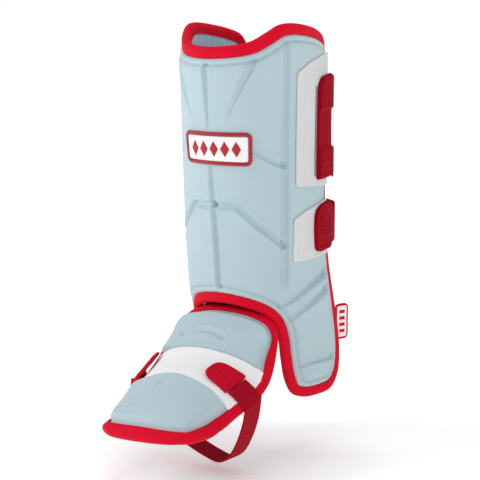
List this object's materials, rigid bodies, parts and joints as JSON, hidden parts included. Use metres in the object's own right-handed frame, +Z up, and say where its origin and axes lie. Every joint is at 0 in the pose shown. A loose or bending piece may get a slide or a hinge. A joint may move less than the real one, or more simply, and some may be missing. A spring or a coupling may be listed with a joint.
{
  "type": "baseball shin guard",
  "caption": "Batter's shin guard: a bent padded shell with ankle flaps, a domed foot guard, bindings, hook-and-loop patches, calf straps and a strap that passes under the foot.",
  "frame": {"origin": "the point of the leg's axis inside the shin part that lies 250 mm above the lowest point of the stirrup strap", "axes": "+Z up along the leg, the toes toward -Y, +X the side that carries the hook tabs, which is the wearer's left"},
  "size_m": [0.1465, 0.2862, 0.4143],
  "materials": {
    "padding": "smooth pale grey-blue moulded padding",
    "mesh": "light blue spacer mesh",
    "binding": "finely ribbed red binding tape",
    "strap": "matt red woven webbing",
    "elastic": "matt red ribbed elastic",
    "loop": "white brushed loop cloth"
  },
  "bodies": {
    "root": {"shin_shell": "padding", "shin_liner": "mesh", "shin_binding": "binding", "foot_shell": "padding", "foot_binding": "binding", "foot_band": "loop", "ankle_hinge": "binding", "badge_border": "binding", "badge_field": "loop", "loop_patch_upper": "loop", "loop_patch_lower": "loop", "hook_tab_upper": "strap", "hook_tab_lower": "strap", "calf_strap_top": "elastic", "calf_strap_middle": "elastic", "calf_strap_lower": "elastic", "stirrup_strap": "strap", "stirrup_tab_near": "strap", "stirrup_tab_far": "strap", "side_tag": "binding"}
  },
  "joints": []
}
